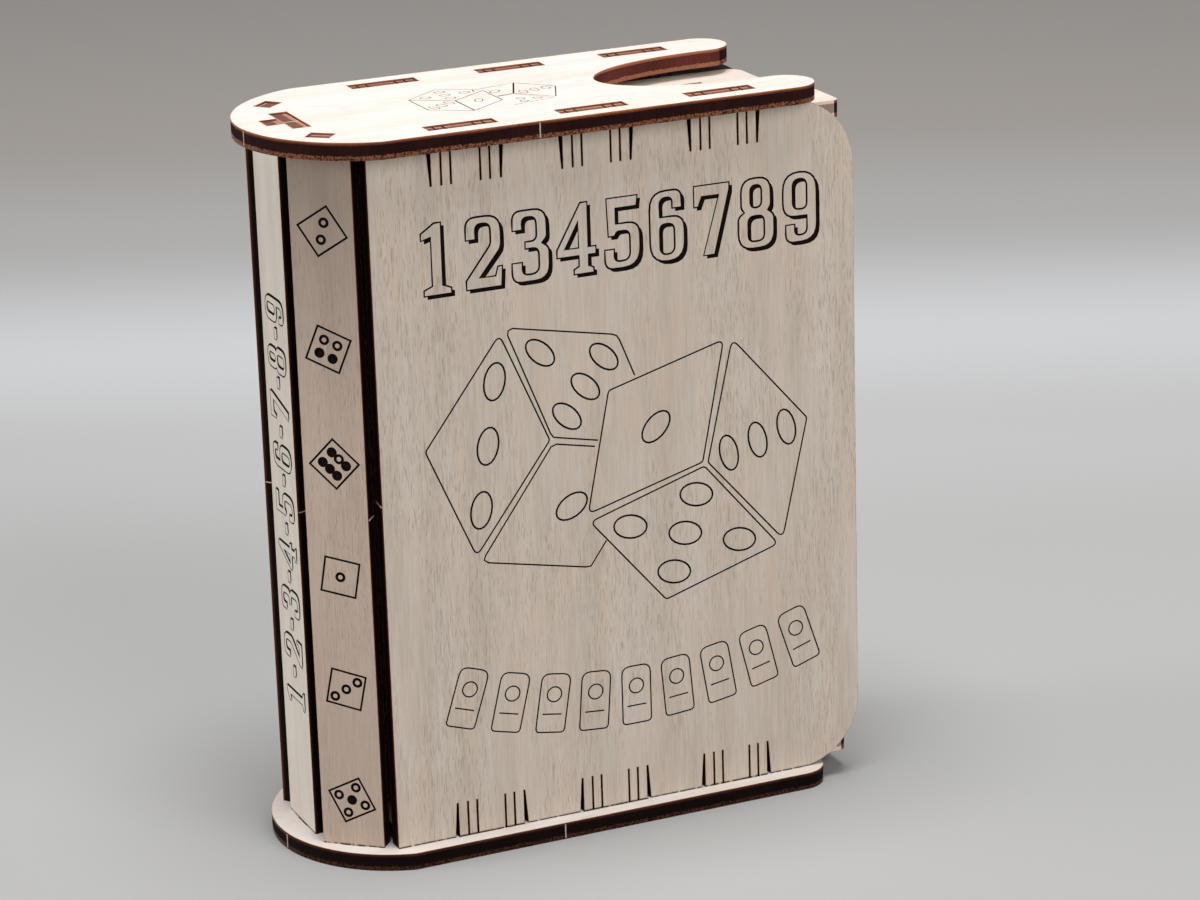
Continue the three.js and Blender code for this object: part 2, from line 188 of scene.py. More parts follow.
def makeEdgeGroup():
    # The cut side of the sheet: a dark middle ply between two outer ones, the lower one torn, with glue
    # lines and fine beam marks. Wear 0 is charred, 0.5 is scorched red, 1 is pale and sawn. The plies'
    # places are shares of the sheet's thickness, from its low side.
    ply = {"middle": 0.545, "half": (0.25, 0.30), "glue": 0.275, "glueWidth": 0.035, "rim": (0.88, 1.02)}
    group, given, made = newGroup(
        "charredEdge",
        [("Through", "value", 0.5), ("Wear", "value", 0.0), ("Vector", "vector", None),
         ("Beam Vector", "vector", None), ("Outer", "colour", srgb(104, 56, 40)),
         ("Middle", "colour", srgb(46, 21, 18)), ("Rim", "colour", srgb(190, 118, 72)),
         ("Char", "colour", srgb(16, 7, 6)), ("Torn", "value", 0.4)],
        [("Color", "colour"), ("Height", "value"), ("Inner", "value")],
    )
    vector = given["Vector"]
    warm = stepOf(group, given["Wear"], 0.0, 0.5)
    sawn = stepOf(group, given["Wear"], 0.5, 1.0)
    upper = stepOf(group, given["Through"], 0.45, 0.55)
    lower = minus(group, 1.0, upper)
    ragged = minus(group, noiseOf(group, vector, (1.3, 1.3, 1.3), 3.0, 0.7), 0.5)
    wander = minus(group, noiseOf(group, vector, (0.12, 0.12, 0.12), 1.0, 0.5), 0.5)
    beams = noiseOf(group, given["Beam Vector"], (1.0, 1.0, 1.0), 2.0, 0.6)
    speckle = noiseOf(group, vector, (3.2, 3.2, 3.2), 2.0, 0.6, (4.0, 8.0, 2.0))
    clouds = noiseOf(group, vector, (0.16, 0.16, 0.16), 2.0, 0.55, (9.0, 1.0, 5.0))

    # Where the plies part, uneven along the cut
    through = plus(group, given["Through"], times(group, ragged, lessOf(group, 0.24, upper, 0.18)))
    through = plus(group, through, times(group, wander, 0.08))
    fromMiddle = mathOf(group, "ABSOLUTE", minus(group, through, ply["middle"]))
    inner = minus(group, 1.0, stepOf(group, fromMiddle, *ply["half"]))
    glue = mathOf(group, "ABSOLUTE", minus(group, fromMiddle, ply["glue"]))
    glue = minus(group, 1.0, stepOf(group, glue, 0.0, ply["glueWidth"]))

    outer = blendOf(group, warm, given["Outer"], tints["warmOuter"])
    outer = blendOf(group, times(group, lower, given["Torn"]), outer, tints["tornOuter"])
    specks = plus(group, times(group, lower, 0.72), 0.15)
    specks = times(group, specks, lessOf(group, 1.0, warm, 0.7))
    specks = times(group, specks, stepOf(group, speckle, 0.44, 0.60))
    outer = blendOf(group, specks, outer, given["Char"])
    outer = blendOf(group, stepOf(group, through, *ply["rim"]), outer, given["Rim"])
    outer = blendOf(group, sawn, outer, tints["sawnOuter"])

    middle = blendOf(group, warm, given["Middle"], tints["warmMiddle"])
    lines = times(group, stepOf(group, beams, 0.42, 0.70), lessOf(group, 0.35, warm, 0.15))
    middle = blendOf(group, lines, middle, given["Char"])
    soot = times(group, stepOf(group, clouds, 0.40, 0.70), lessOf(group, 0.45, warm, 0.20))
    middle = blendOf(group, soot, middle, given["Char"])
    middle = blendOf(group, sawn, middle, tints["sawnMiddle"])

    colour = blendOf(group, inner, outer, middle)
    glue = times(group, glue, lessOf(group, 0.60, sawn, 0.35))
    colour = blendOf(group, glue, colour, given["Char"])
    height = plus(group, times(group, beams, 0.6), times(group, speckle, 0.4))
    group.links.new(colour, made["Color"])
    group.links.new(height, made["Height"])
    group.links.new(inner, made["Inner"])
    return group


grainGroup = makeGrainGroup()
rimGroup = makeRimGroup()
edgeGroup = makeEdgeGroup()

toMm = (1000.0, 1000.0, 1000.0)
quarter = math.pi / 2


def startMaterial(name):
    material = bpy.data.materials.new(name)
    material.use_nodes = True
    tree = material.node_tree
    shader = tree.nodes["Principled BSDF"]
    place = tree.nodes.new("ShaderNodeTexCoord").outputs["Object"]
    return material, tree, shader, place


def mapped(tree, place, scale=toMm, turn=(0.0, 0.0, 0.0)):
    return addNode(tree, "ShaderNodeMapping", {"Vector": place, "Rotation": turn, "Scale": scale}).outputs[0]


def cutOf(tree):
    # What each corner of a sheet carries: red by a wall, green the way through the sheet, blue the wear
    cut = addNode(tree, "ShaderNodeAttribute", attribute_name="cut")
    return addNode(tree, "ShaderNodeSeparateColor", {0: cut.outputs["Color"]}).outputs


def paint(tree, shader, colour):
    tree.links.new(colour, shader.inputs["Base Color"])


def finishOn(shader, roughness, specular=0.5):
    shader.inputs["Roughness"].default_value = roughness
    shader.inputs["Specular IOR Level"].default_value = specular


def bumpOn(tree, shader, height, depth):
    bump = addNode(tree, "ShaderNodeBump", {"Height": height, "Distance": depth, "Strength": 1.0})
    tree.links.new(bump.outputs[0], shader.inputs["Normal"])


# Which way the grain runs on each kind of sheet and how light it is. As heights in millimetres: where a dark
# broken line shows along its foot, where painted shade darkens its head below the top plate's overhang, and
# where painted shade blackens its inner side under the plates.
looks = {
    "plate": {"grain": "x", "light": (219, 212, 207), "dark": (210, 201, 193), "pore": (188, 170, 152),
              "pores": 0.30},
    "cover": {"grain": "z", "light": (211, 199, 186), "dark": (191, 177, 162), "pore": (150, 128, 106),
              "pores": 0.42, "foot": (3.08, 3.42), "paintedInnerShade": (121.2, 122.4)},
    "strip": {"grain": "z", "light": (214, 207, 197), "dark": (198, 189, 177), "pore": (160, 142, 124),
              "pores": 0.35, "foot": (3.08, 3.42)},
    "sideStrip": {"grain": "z", "light": (196, 177, 161), "dark": (180, 160, 144), "pore": (138, 118, 102),
                  "pores": 0.5, "streaks": 0.05, "foot": (3.08, 3.42), "head": (70, 124)},
    "drawer": {"grain": "x", "light": (216, 205, 196), "dark": (204, 190, 178), "pore": (178, 156, 138),
               "pores": 0.35},
    "drawerEnd": {"grain": "y", "light": (216, 205, 196), "dark": (202, 187, 175), "pore": (178, 156, 138),
                  "pores": 0.35},
    "tile": {"grain": "y", "light": (226, 208, 182), "dark": (206, 185, 155), "pore": (158, 130, 100),
             "pores": 0.45},
}
# How far the covers' inner faces are from the case's middle, in millimetres, with a soft border
coverInside = (16.0, 16.2)
# Turns the grain onto the first axis
grainTurns = {"x": (0.0, 0.0, 0.0), "y": (0.0, 0.0, -quarter), "z": (0.0, quarter, 0.0)}
# Beam marks cross the sheet's thickness, so they don't vary along its normal
beamScales = {"x": (100.0, 3400.0, 3400.0), "y": (3400.0, 100.0, 3400.0), "z": (3400.0, 3400.0, 100.0)}


def veneerMaterial(kind):
    look = looks[kind]
    material, tree, shader, place = startMaterial(kind + "Veneer")
    turned = mapped(tree, place, turn=grainTurns[look["grain"]])
    scaled = mapped(tree, place)
    grain = placeGroup(tree, grainGroup, {
        "Vector": turned, "Light": srgb(*look["light"]), "Dark": srgb(*look["dark"]),
        "Pore": srgb(*look["pore"]), "Pore Amount": look["pores"], "Warm Streaks": look.get("streaks", 0.35),
    })
    colour = placeGroup(tree, rimGroup, {
        "Color": grain["Color"], "Burn": cutOf(tree)[0], "Vector": scaled,
    })["Color"]
    acrossCase, height = addNode(tree, "ShaderNodeSeparateXYZ", {0: scaled}).outputs[1:]
    # Painted shade: the strip browns and darkens towards its top, as the top plate's overhang would shade it
    if "head" in look:
        head = times(tree, stepOf(tree, height, *look["head"]), 0.4)
        colour = blendOf(tree, head, colour, tints["head"])
    if "foot" in look:
        broken = stepOf(tree, noiseOf(tree, scaled, (0.9, 0.9, 0.0), 2.0, 0.6), 0.36, 0.46)
        foot = times(tree, minus(tree, 1.0, stepOf(tree, height, *look["foot"])), broken)
        colour = blendOf(tree, foot, colour, tints["foot"])
    # Painted shade: the covers' inner faces go near black just under the plates, where the gap below the
    # notch lies in shadow
    if "paintedInnerShade" in look:
        outside = stepOf(tree, mathOf(tree, "ABSOLUTE", acrossCase), *coverInside)
        paintedInnerShade = times(tree, stepOf(tree, height, *look["paintedInnerShade"]), minus(tree, 1.0, outside))
        colour = blendOf(tree, paintedInnerShade, colour, tints["paintedInnerShade"])
    paint(tree, shader, colour)
    finishOn(shader, 0.62, 0.35)
    bumpOn(tree, shader, grain["Height"], 0.05 * mm)
    return material


def edgeMaterial(name, normalAxis, outer, middle, rimColour, char, torn):
    material, tree, shader, place = startMaterial(name)
    scaled = mapped(tree, place)
    beam = mapped(tree, place, beamScales[normalAxis])
    through, wear = cutOf(tree)[1:]
    edge = placeGroup(tree, edgeGroup, {
        "Through": through, "Wear": wear, "Vector": scaled, "Beam Vector": beam,
        "Outer": srgb(*outer), "Middle": srgb(*middle), "Rim": srgb(*rimColour), "Char": srgb(*char),
        "Torn": torn,
    })
    paint(tree, shader, edge["Color"])
    tree.links.new(stepOf(tree, edge["Inner"], -0.6, 1.6), shader.inputs["Roughness"])
    shader.inputs["Specular IOR Level"].default_value = 0.06
    bumpOn(tree, shader, edge["Height"], 0.09 * mm)
    return material


def grooveMaterial():
    material, tree, shader, place = startMaterial("engravedLine")
    scaled = mapped(tree, place)
    soot = noiseOf(tree, scaled, (1.3, 1.3, 1.3), 3.0, 0.6)
    colour = blendOf(tree, stepOf(tree, soot, 0.35, 0.7), tints["soot"], tints["paleSoot"])
    paint(tree, shader, colour)
    finishOn(shader, 0.9, 0.1)
    bumpOn(tree, shader, soot, 0.04 * mm)
    return material


def splinterMaterial():
    material, tree, shader, place = startMaterial("bareSplinter")
    scaled = mapped(tree, place)
    fibre = noiseOf(tree, scaled, (4.0, 4.0, 1.2), 2.0, 0.6)
    colour = blendOf(tree, fibre, srgb(214, 196, 176), srgb(168, 140, 116))
    paint(tree, shader, colour)
    finishOn(shader, 0.8)
    return material


splinter = splinterMaterial()
charred = {"outer": (104, 56, 40), "middle": (46, 21, 18), "rimColour": (190, 118, 72), "char": (16, 7, 6),
           "torn": 0.4}
# Darker cut faces for the covers, strips and bottom plate: charred, and darkened further as painted shade for
# edges that stand in deep shadow
burntAndShaded = {"outer": (58, 31, 24), "middle": (22, 10, 8), "rimColour": (110, 64, 44), "char": (7, 3, 3),
         "torn": 0.08}
edgeMaterials = {axis: edgeMaterial("charredEdge" + axis.upper(), axis, **charred) for axis in "xyz"}
burntAndShadedEdges = {axis: edgeMaterial("burntAndShadedEdge" + axis.upper(), axis, **burntAndShaded) for axis in "xyz"}
veneers = {kind: veneerMaterial(kind) for kind in looks}
groove = grooveMaterial()
print("materials made:", len(bpy.data.materials))


# Modelling helpers

def pickUp(piece):
    if bpy.context.object and bpy.context.object.mode != "OBJECT":
        bpy.ops.object.mode_set(mode="OBJECT")
    bpy.ops.object.select_all(action="DESELECT")
    piece.select_set(True)
    bpy.context.view_layer.objects.active = piece


def selectFaces(piece, wanted):
    mesh = piece.data
    for part in (mesh.vertices, mesh.edges, mesh.polygons):
        part.foreach_set("select", [False] * len(part))
    for face in mesh.polygons:
        face.select = wanted(face)
    bpy.ops.object.mode_set(mode="EDIT")
    bpy.ops.mesh.select_mode(type="FACE")


def linked(name, data):
    piece = bpy.data.objects.new(name, data)
    bpy.context.collection.objects.link(piece)
    return piece


def editAll():
    bpy.ops.object.mode_set(mode="EDIT")
    bpy.ops.mesh.select_all(action="SELECT")


def endEdit():
    bpy.ops.object.mode_set(mode="OBJECT")


def applyPlace():
    bpy.ops.object.transform_apply(location=True, rotation=True, scale=True)


def newest(name):
    piece = bpy.context.object
    piece.name = name
    applyPlace()
    return piece


def shadeSmooth(piece, degrees=32):
    pickUp(piece)
    bpy.ops.object.shade_smooth_by_angle(angle=math.radians(degrees))


def fromAxes(first, second, third, origin):
    return Matrix((*zip(first, second, third, origin), (0, 0, 0, 1)))


# Differences too small to keep: gaps between points, turns, areas, and steps of a drawing in millimetres
sliver = {"weld": 0.001 * mm, "flat": math.radians(0.5), "area": 0.001 * mm * mm, "apart": 1e-4}


def copyOfNode(node, name):
    piece = linked(name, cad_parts[node].data.copy())
    pickUp(piece)
    bpy.ops.mesh.customdata_custom_splitnormals_clear()
    editAll()
    bpy.ops.mesh.remove_doubles(threshold=sliver["weld"])
    bpy.ops.mesh.dissolve_limited(angle_limit=sliver["flat"], delimit={"NORMAL"})
    endEdit()
    piece.data.materials.clear()
    return piece


def insetBroadFaces(piece, normal, rim, refill):
    # Refilled, no triangle bridges a slot. A face that is engraved later keeps its few large faces.
    for side in (normal, -normal):
        selectFaces(piece, lambda face: face.normal.dot(side) > 0.99 and face.material_index == 0)
        bpy.ops.mesh.inset(thickness=rim, use_boundary=True, use_even_offset=True)
        if refill:
            bpy.ops.mesh.delete(type="FACE")
            bpy.ops.mesh.select_mode(type="EDGE")
            bpy.ops.mesh.select_non_manifold()
            bpy.ops.mesh.fill(use_beauty=False)
            bpy.ops.mesh.select_all(action="SELECT")
            bpy.ops.mesh.normals_make_consistent(inside=False)
        endEdit()


def carve(piece, cutter, operation="DIFFERENCE", crossing=False):
    pickUp(piece)
    bpy.ops.object.modifier_add(type="BOOLEAN")
    modifier = piece.modifiers[-1]
    modifier.operation = operation
    modifier.object = cutter
    modifier.solver = "EXACT"
    modifier.use_self = crossing  # for cutters whose own lines cross
    modifier.material_mode = "TRANSFER"
    bpy.ops.object.modifier_apply(modifier=modifier.name)
    bpy.data.objects.remove(cutter)


def finishSheet(piece, normal, veneer, edge, wear):
    mesh = piece.data
    slots = {material.name: index for index, material in enumerate(mesh.materials) if material}
    for material in (veneer, edge):
        if material.name not in slots:
            mesh.materials.append(material)
            slots[material.name] = len(mesh.materials) - 1
    kept = [slots[name] for name in (groove.name, splinter.name) if name in slots]
    walls = [0.0] * len(mesh.vertices)
    for face in mesh.polygons:
        if face.material_index not in kept:
            broad = abs(face.normal.dot(normal)) > 0.9 or face.area < sliver["area"]
            face.material_index = slots[(veneer if broad else edge).name]
            if not broad:
                for corner in face.vertices:
                    walls[corner] = 1.0
    heights = [vertex.co.dot(normal) for vertex in mesh.vertices]
    low = min(heights)
    cut = mesh.attributes.new("cut", "FLOAT_COLOR", "CORNER")
    for face in mesh.polygons:
        worn = 0.0
        for (lowCorner, highCorner), amount in wear:
            if all(lowCorner[i] * mm < face.center[i] < highCorner[i] * mm for i in range(3)):
                worn = amount
        for corner, point in zip(face.loop_indices, face.vertices):
            cut.data[corner].color = (walls[point], (heights[point] - low) / plyThickness, worn, 1.0)
    shadeSmooth(piece)


# Drawing: a stroke is a line through points in millimetres on a flat face, closed unless it says otherwise

def roundCorners(points, radius=0.0):
    steps = 5
    rounded = []
    for index, point in enumerate(points):
        corners = (points[index - 1], point, points[(index + 1) % len(points)])
        before, here, after = (Vector(corner[:2]) for corner in corners)
        reach = point[2] if len(point) > 2 else radius
        if reach <= 0:
            rounded.append(tuple(here))
            continue
        toBefore, toAfter = (before - here).normalized(), (after - here).normalized()
        reach /= math.tan(toBefore.angle(toAfter) / 2)
        reach = min(reach, (before - here).length / 2, (after - here).length / 2)
        start, end = here + toBefore * reach, here + toAfter * reach
        for step in range(steps + 1):
            t = step / steps
            rounded.append(tuple(start * (1 - t) ** 2 + here * 2 * t * (1 - t) + end * t ** 2))
    # Two roundings that share a side's middle give one point there
    return [point for index, point in enumerate(rounded)
            if (Vector(point) - Vector(rounded[index - 1])).length > sliver["apart"]]


flatU, flatV = Vector((1, 0)), Vector((0, 1))


def ellipse(centre, alongU, alongV, radius, sides=20):
    points = []
    for side in range(sides):
        angle = 2 * math.pi * side / sides
        offset = alongU * (radius * math.cos(angle)) + alongV * (radius * math.sin(angle))
        points.append(tuple(Vector(centre) + offset))
    return points


def strokeCutter(name, strokes, toFace, outward, depth):
    curve = bpy.data.curves.new(name, "CURVE")
    curve.dimensions = "3D"
    curve.bevel_depth = 1.0 * mm
    curve.bevel_resolution = 1
    curve.use_fill_caps = True
    for stroke in strokes:
        spline = curve.splines.new("POLY")
        spline.points.add(len(stroke["points"]) - 1)
        half = stroke["width"] / 2
        lift = max(half - depth, 0) * mm
        for point, (u, v) in zip(spline.points, stroke["points"]):
            point.co = (*(toFace(u, v) + outward * lift), 1)
            point.radius = half
        spline.use_cyclic_u = stroke.get("closed", True)
    cutter = linked(name, curve)
    pickUp(cutter)
    bpy.ops.object.convert(target="MESH")
    cutter.data.materials.clear()
    cutter.data.materials.append(groove)
    return cutter


pipPlaces = {
    1: [(0, 0)],
    2: [(-1, 1), (1, -1)],
    3: [(-1, 1), (0, 0), (1, -1)],
    4: [(-1, 1), (1, 1), (-1, -1), (1, -1)],
    5: [(-1, 1), (1, 1), (0, 0), (-1, -1), (1, -1)],
    6: [(-1, 1), (1, 1), (-1, 0), (1, 0), (-1, -1), (1, -1)],
}


def dieFace(corner, beside, last, value, width, pipWidth, rounding=0.9, pipRadius=0.12, spread=0.29,
            outline=None, skip=()):
    # One drawn face: a parallelogram from its corner, with pips that lean as the face does
    corner, beside, last = Vector(corner), Vector(beside), Vector(last)
    alongU, alongV = beside - corner, last - corner
    middle = corner + (alongU + alongV) / 2
    strokes = []
    if outline is None:
        path = [corner, beside, beside + alongV, last]
        strokes.append({"points": roundCorners([tuple(p) for p in path], rounding), "width": width})
    else:
        strokes.append({"points": outline, "closed": False, "width": width})
    for index, (u, v) in enumerate(pipPlaces[value]):
        if index not in skip:
            centre = middle + alongU * (u * spread) + alongV * (v * spread)
            strokes.append({"points": ellipse(centre, alongU, alongV, pipRadius), "width": pipWidth})
    return strokes


# Plain numerals in a box six wide and ten high: closed outlines of (x, y) or (x, y, rounding)
six = [
    [(5.4, 7.4), (5.4, 10, 2.2), (0.3, 10, 2.8), (0.3, 0, 2.8), (5.8, 0, 2.6), (5.8, 6.3, 2.4), (1.9, 6.3),
     (1.9, 9.0, 1.1), (3.9, 9.0, 0.8), (3.9, 7.4)],
    [(1.9, 5.3, 0.9), (1.9, 1.0, 1.1), (4.2, 1.0, 1.1), (4.2, 5.3, 1.1)],
]
numerals = {
    1: [[(1.0, 0), (5.2, 0), (5.2, 0.8), (3.9, 1.3), (3.9, 10), (2.9, 10), (0.8, 8.7), (0.8, 7.7), (2.3, 8.1),
         (2.3, 1.3), (1.0, 0.8)]],
    2: [[(0.3, 0), (5.7, 0), (5.9, 2.8), (5.2, 2.8), (4.8, 1.5), (2.3, 1.5), (5.8, 5.4, 2.0),
         (5.8, 10, 2.6), (0.4, 10, 2.6), (0.4, 6.9), (1.9, 6.9), (1.9, 9.0, 0.9), (4.2, 9.0, 1.1),
         (4.2, 6.0, 1.6), (0.3, 1.3)]],
    3: [[(0.4, 7.3), (0.4, 10, 2.4), (5.7, 10, 2.4), (5.7, 5.9, 1.2), (4.9, 5.2), (6.0, 4.5, 1.2),
         (6.0, 0, 2.6), (0.2, 0, 2.6), (0.2, 2.8), (1.8, 2.8), (1.8, 1.0, 0.9), (4.4, 1.0, 1.2),
         (4.4, 4.6, 1.0), (2.3, 4.6), (2.3, 5.6), (4.1, 5.6, 0.9), (4.1, 9.0, 1.1), (1.9, 9.0, 0.9),
         (1.9, 7.3)]],
    4: [[(2.6, 0), (5.7, 0), (5.7, 0.7), (4.9, 1.1), (4.9, 2.6), (6.1, 2.6), (6.1, 3.7), (4.9, 3.7),
         (4.9, 10), (3.8, 10), (0, 3.7), (0, 2.6), (3.4, 2.6), (3.4, 1.1), (2.6, 0.7)],
        [(3.4, 3.7), (3.4, 7.5), (1.2, 3.7)]],
    5: [[(0.9, 4.6), (0.7, 10), (5.6, 10), (5.4, 8.5), (2.1, 8.5), (2.1, 6.3), (5.9, 6.3, 2.4), (5.9, 0, 2.7),
         (0.3, 0, 2.5), (0.3, 2.8), (1.8, 2.8), (1.8, 1.0, 0.9), (4.3, 1.0, 1.2), (4.3, 5.2, 1.2),
         (2.3, 5.2, 0.5), (1.9, 4.6)]],
    6: six,
    7: [[(0.2, 10), (5.9, 10), (5.9, 9.0), (3.4, 0), (1.6, 0), (4.2, 8.4), (1.5, 8.4), (0.9, 7.0),
         (0.2, 7.0)]],
    8: [[(0.6, 10, 2.4), (5.4, 10, 2.4), (5.4, 5.9, 1.2), (4.9, 5.25), (5.9, 4.6, 1.2), (5.9, 0, 2.6),
         (0.1, 0, 2.6), (0.1, 4.6, 1.2), (1.1, 5.25), (0.6, 5.9, 1.2)],
        [(2.1, 9.0, 0.9), (3.9, 9.0, 0.9), (3.9, 5.8, 0.9), (2.1, 5.8, 0.9)],
        [(1.7, 4.6, 1.0), (4.3, 4.6, 1.0), (4.3, 1.0, 1.0), (1.7, 1.0, 1.0)]],
    9: [[(6 - p[0], 10 - p[1], *p[2:]) for p in outline] for outline in six],
    "-": [[(0.4, 4.2), (2.6, 4.2), (2.6, 5.6), (0.4, 5.6)]],
}


def glyph(sign, left, low, height, stretch=1.0):
    scale = height / 10
    return [[(left + x * scale * stretch, low + y * scale) for x, y in roundCorners(outline)]
            for outline in numerals[sign]]


def outlinesOf(contours, width):
    return [{"points": contour, "width": width} for contour in contours]


def slabOf(name, contours, toFace, outward, depth, shift=(0.0, 0.0)):
    # A flat filled shape that stands through the face, as deep inside it as outside
    curve = bpy.data.curves.new(name, "CURVE")
    curve.dimensions = "2D"
    curve.fill_mode = "BOTH"
    curve.extrude = depth
    for contour in contours:
        spline = curve.splines.new("POLY")
        spline.points.add(len(contour) - 1)
        for point, (u, v) in zip(spline.points, contour):
            point.co = ((u + shift[0]) * mm, (v + shift[1]) * mm, 0, 1)
        spline.use_cyclic_u = True
    slab = linked(name, curve)
    pickUp(slab)
    bpy.ops.object.convert(target="MESH")
    editAll()
    bpy.ops.mesh.remove_doubles(threshold=sliver["weld"])
    bpy.ops.mesh.normals_make_consistent(inside=False)
    endEdit()
    origin = toFace(0, 0)
    slab.matrix_world = fromAxes((toFace(1, 0) - origin) / mm, (toFace(0, 1) - origin) / mm, outward, origin)
    applyPlace()
    slab.data.materials.clear()
    slab.data.materials.append(groove)
    return slab


def shadowCutter(name, contours, toFace, outward, depth, shift):
    # The part of the shifted figure that the figure itself doesn't cover
    shade = slabOf(name, contours, toFace, outward, depth, shift)
    carve(shade, slabOf(name + "Figure", contours, toFace, outward, 3 * depth), crossing=True)
    return shade


# Where a point (u, v) in millimetres lies on the front cover and on the top plate

def onFront(u, v):
    return Vector((spineEdge + u * mm, frontFace, v * mm))


def onTop(u, v):
    return Vector((spineEdge + u * mm, frontFace + v * mm, caseTop))


coverArt = {
    "line": 0.40, "thin": 0.32, "depth": 0.17, "figureHeight": 12.2, "figureLow": 99.4, "figureFrom": 7.4,
    "figureTo": 82.2, "figureIndent": 0.5, "figureStretch": 0.95, "shadow": (0.56, -0.58),
    "shadowDepth": 0.14,
}


def diceStrokes():
    line, thin = coverArt["line"], coverArt["thin"]
    strokes = []
    # Right die, in front
    strokes += dieFace((41.4, 78.4), (63.0, 84.2), (37.0, 57.2), 1, thin, line)
    strokes += dieFace((64.6, 84.1), (78.6, 67.9), (59.6, 62.8), 3, thin, line)
    strokes += dieFace((58.9, 62.2), (72.7, 45.8), (37.3, 55.7), 5, thin, line)
    # Left die, partly behind it
    strokes += dieFace((8.0, 72.8), (22.0, 91.1), (16.4, 53.1), 3, thin, line)
    strokes += dieFace((31.1, 71.7), (51.0, 67.6), (23.4, 92.0), 5, thin, line, outline=[
        (46.3, 80.4), (43.7, 87.0), (43.2, 87.8), (42.3, 88.2), (24.4, 91.8), (23.6, 91.5), (23.5, 90.7),
        (30.6, 72.5), (31.1, 71.8), (31.9, 71.6), (39.2, 70.0)], skip=(4,))
    strokes += dieFace((30.9, 70.6), (17.3, 51.9), (50.7, 66.3), 1, thin, line, outline=[
        (38.6, 69.0), (31.6, 70.5), (30.6, 70.2), (18.0, 53.0), (17.7, 52.2), (18.5, 51.6), (36.2, 47.8),
        (37.2, 47.8), (40.2, 51.9)])
    return strokes


def figureRow():
    art = coverArt
    step = (art["figureTo"] - art["figureFrom"]) / 9
    contours = []
    for number in range(1, 10):
        left = art["figureFrom"] + (number - 1) * step + art["figureIndent"]
        contours += glyph(number, left, art["figureLow"], art["figureHeight"], art["figureStretch"])
    return contours


arcArt = {"count": 9, "from": 12.0, "to": 78.0, "low": 17.6, "rise": 5.4, "width": 5.4, "height": 10.6,
          "line": 0.30, "footRound": 0.8, "headRound": 1.6, "dashIndent": 0.9, "dashHeight": 3.3,
          "ringHeight": 6.9, "ring": 1.35}


def turnedStroke(points, base, turn, width, closed=True):
    return {"points": [tuple(base + turn @ Vector(p)) for p in points], "width": width, "closed": closed}


def tileArcStrokes():
    # A row of plain tile outlines on a shallow arc, each with a dash and a ring
    art = arcArt
    strokes = []
    middle = (art["from"] + art["to"]) / 2
    reach = (art["to"] - art["from"]) / 2
    for index in range(art["count"]):
        x = art["from"] + index * 2 * reach / (art["count"] - 1)
        t = (x - middle) / reach
        base = Vector((x, art["low"] + art["rise"] * t * t))
        turn = Matrix.Rotation(math.atan(2 * art["rise"] * t / reach), 2)
        half, high, foot, head = art["width"] / 2, art["height"], art["footRound"], art["headRound"]
        outline = roundCorners([(-half, 0, foot), (half, 0, foot), (half, high, head), (-half, high, head)])
        dash = [(-half + art["dashIndent"], art["dashHeight"]), (half - art["dashIndent"], art["dashHeight"])]
        ring = ellipse((0, art["ringHeight"]), flatU, flatV, art["ring"])
        strokes.append(turnedStroke(outline, base, turn, art["line"]))
        strokes.append(turnedStroke(dash, base, turn, art["line"], closed=False))
        strokes.append(turnedStroke(ring, base, turn, art["line"]))
    return strokes


topArt = {"line": 0.19, "bold": 0.36, "pip": 0.16, "depth": 0.12}


def topStrokes():
    line, bold, pip = topArt["line"], topArt["bold"], topArt["pip"]
    strokes = []
    strokes += dieFace((16.3, 22.2), (23.0, 27.2), (22.9, 17.8), 5, line, pip, 0.25, 0.10, 0.27, outline=[
        (28.1, 22.4), (28.5, 24.0), (23.0, 27.2), (16.3, 22.2), (22.9, 17.8)])
    strokes += dieFace((16.3, 22.2), (22.9, 17.8), (16.5, 13.8), 3, line, pip, 0.25, 0.11, 0.27)
    strokes += dieFace((22.9, 17.8), (29.8, 22.5), (23.1, 9.6), 1, line, pip, 0.25, 0.12, 0.27)
    strokes += dieFace((28.5, 23.6), (36.5, 25.1), (26.0, 16.3), 1, line, pip, outline=[
        (28.4, 23.4), (36.5, 25.1), (33.5, 17.9), (30.2, 17.2)])
    strokes += dieFace((36.5, 25.1), (41.7, 19.2), (33.5, 17.9), 3, line, pip, 0.25, 0.11, 0.27)
    strokes += dieFace((33.5, 17.9), (38.2, 11.6), (27.9, 15.9), 5, line, pip, 0.25, 0.09, 0.25, outline=[
        (30.2, 17.0), (33.3, 17.5), (38.0, 11.5), (30.4, 10.0)], skip=(0, 3))
    strokes.append({"points": [(36.5, 25.1), (33.5, 17.9)], "closed": False, "width": bold})
    strokes.append({"points": [(22.9, 17.8), (23.1, 9.6)], "closed": False, "width": line * 1.4})
    return strokes


# Small squares on the angled strips: height on the strip, turn in degrees, pips, and which are filled
stripArt = {
    "side": 6.1, "line": 0.58, "pipRadius": 0.66, "pipLine": 0.58, "core": 0.4, "depth": 0.22,
    "spreads": {1: (0, 0), 2: (0.17, 0.17), 3: (0.285, 0.285), 4: (0.20, 0.20), 5: (0.285, 0.285),
                6: (0.20, 0.27)},
    "near": [(111.4, -56.8, 2, ()), (91.4, -22.3, 4, (2, 3)), (71.6, 47.0, 6, (0, 1, 2, 4, 5)),
             (51.7, -9.6, 1, ()), (31.6, 78.5, 3, ()), (11.4, -63.4, 5, (2,))],
    "far": [(111.4, 38.0, 5, (0,)), (91.4, 14.0, 1, ()), (71.6, 61.0, 3, ()), (51.7, 25.0, 6, (0, 2, 3)),
            (31.6, 49.0, 2, ()), (11.4, 8.0, 4, (1,))],
}


